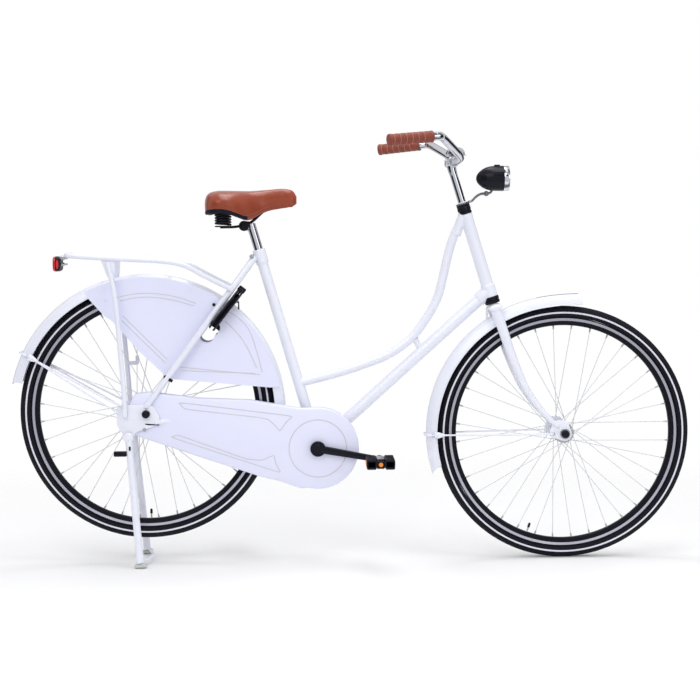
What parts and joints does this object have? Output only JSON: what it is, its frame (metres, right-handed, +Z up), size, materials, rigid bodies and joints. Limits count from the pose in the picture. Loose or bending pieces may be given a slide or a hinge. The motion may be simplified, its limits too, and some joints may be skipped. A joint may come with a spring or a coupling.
{
  "type": "dutch city bike",
  "caption": "Upright step-through city bicycle with swept handlebar, full chaincase, mudguards, coat guards, carrier, ring lock and two-legged stand.",
  "frame": {"origin": "middle of the bicycle's bounding box, on the ground that the front tyre and the stand's feet rest on", "axes": "+X forward along the bicycle, +Y to the rider's left, +Z up"},
  "size_m": [1.8716, 0.5716, 1.1724],
  "materials": {
    "white_paint": "gloss white paint",
    "black_paint": "gloss black paint",
    "tyre_rubber": "black tyre rubber",
    "bright_steel": "polished chrome",
    "plain_steel": "plain zinc plated steel",
    "black_plastic": "black moulded plastic",
    "white_skirt": "white plastic skirt",
    "brown_leather": "brown stitched leatherette",
    "red_lens": "red lens"
  },
  "bodies": {
    "frame": {"head_tube": "white_paint", "top_tube": "white_paint", "down_tube": "white_paint", "seat_tube": "white_paint", "bottom_bracket_shell": "white_paint", "chain_stay_right": "white_paint", "chain_stay_left": "white_paint", "seat_stay_right": "white_paint", "seat_stay_left": "white_paint", "headset_upper": "plain_steel", "headset_lower": "plain_steel", "rear_rack": "white_paint", "rack_leg_right": "white_paint", "rack_leg_left": "white_paint", "rear_light": "red_lens", "rear_mudguard": "white_paint", "rear_mudguard_stays": "plain_steel", "coat_guard_right": "white_skirt", "coat_guard_left": "white_skirt", "ring_lock": "black_plastic", "chaincase": "white_paint", "chaincase_back": "white_paint", "chain": "plain_steel", "rear_axle": "plain_steel", "brake_arm": "plain_steel"},
    "fork": {"fork_crown": "white_paint", "fork_blade_right": "white_paint", "fork_blade_left": "white_paint", "front_axle": "plain_steel", "front_mudguard": "white_paint", "front_mudguard_stays": "plain_steel", "headlight": "black_plastic"},
    "front_wheel": {"front_hub": "plain_steel", "front_spokes": "plain_steel", "front_rim": "black_paint", "front_tyre": "tyre_rubber"},
    "rear_wheel": {"rear_hub": "plain_steel", "rear_spokes": "plain_steel", "rear_rim": "black_paint", "rear_tyre": "tyre_rubber"},
    "sprocket": {"rear_sprocket": "plain_steel"},
    "crank": {"crank_axle": "plain_steel", "crank_right": "black_paint", "crank_left": "black_paint", "chainring": "plain_steel"},
    "right_pedal": {"pedal_right": "black_plastic"},
    "left_pedal": {"pedal_left": "black_plastic"},
    "kickstand": {"stand": "white_paint"},
    "shackle": {"ring_lock_shackle": "plain_steel"},
    "stem": {"stem": "bright_steel"},
    "bar": {"handlebar": "bright_steel", "grip_right": "brown_leather", "grip_left": "brown_leather", "bell": "black_paint"},
    "lever": {"bell_lever": "black_paint"},
    "post": {"seatpost": "bright_steel"},
    "seat": {"saddle_frame": "black_paint", "saddle": "brown_leather", "saddle_spring_right": "black_paint", "saddle_spring_left": "black_paint"}
  },
  "joints": [
    {"name": "steering", "type": "hinge", "parent": "frame", "child": "fork", "pos_m": [0.50834, 0, 0.32761], "axis": [-0.2924, 0, 0.9563], "range_deg": [-60, 60]},
    {"name": "front_wheel_spin", "type": "hinge", "parent": "fork", "child": "front_wheel", "pos_m": [0.58485, 0, 0.351], "axis": [0, 1, 0], "continuous": true},
    {"name": "rear_wheel_spin", "type": "hinge", "parent": "frame", "child": "rear_wheel", "pos_m": [-0.56415, 0, 0.418], "axis": [0, 1, 0], "continuous": true},
    {"name": "crank_spin", "type": "hinge", "parent": "frame", "child": "crank", "pos_m": [-0.09615, 0, 0.318], "axis": [0, 1, 0], "continuous": true},
    {"name": "sprocket_spin", "type": "hinge", "parent": "frame", "child": "sprocket", "pos_m": [-0.56415, 0, 0.418], "axis": [0, 1, 0], "continuous": true},
    {"name": "right_pedal_spin", "type": "hinge", "parent": "crank", "child": "right_pedal", "pos_m": [0.07126, -0.132, 0.28848], "axis": [0, 1, 0], "continuous": true},
    {"name": "left_pedal_spin", "type": "hinge", "parent": "crank", "child": "left_pedal", "pos_m": [-0.26357, 0.132, 0.34752], "axis": [0, 1, 0], "continuous": true},
    {"name": "stand_fold", "type": "hinge", "parent": "frame", "child": "kickstand", "pos_m": [-0.61215, 0, 0.355], "axis": [0, 1, 0], "range_deg": [0, 95]},
    {"name": "lock_close", "type": "hinge", "parent": "frame", "child": "shackle", "pos_m": [-0.35175, 0, 0.68986], "axis": [0.788, 0, -0.6157], "range_deg": [0, 100]},
    {"name": "stem_height", "type": "slide", "parent": "fork", "child": "stem", "axis": [-0.2924, 0, 0.9563], "range_m": [0, 0.03]},
    {"name": "bar_tilt", "type": "hinge", "parent": "stem", "child": "bar", "pos_m": [0.28159, 0, 1.10007], "axis": [0, 1, 0], "range_deg": [-15, 15]},
    {"name": "bell_lever_turn", "type": "hinge", "parent": "bar", "child": "lever", "pos_m": [0.29544, 0.08379, 1.12883], "axis": [0, 0, 1], "range_deg": [0, 25], "stiffness_Nm_per_rad": 0.02},
    {"name": "saddle_height", "type": "slide", "parent": "frame", "child": "post", "axis": [-0.2797, 0, 0.9601], "range_m": [0, 0.06]},
    {"name": "saddle_tilt", "type": "hinge", "parent": "post", "child": "seat", "pos_m": [-0.29366, 0, 0.92811], "axis": [0, 1, 0], "range_deg": [-8, 8]}
  ],
  "couplings": [
    {"joint": "sprocket_spin", "follows": "crank_spin", "ratio": 2.3158}
  ]
}
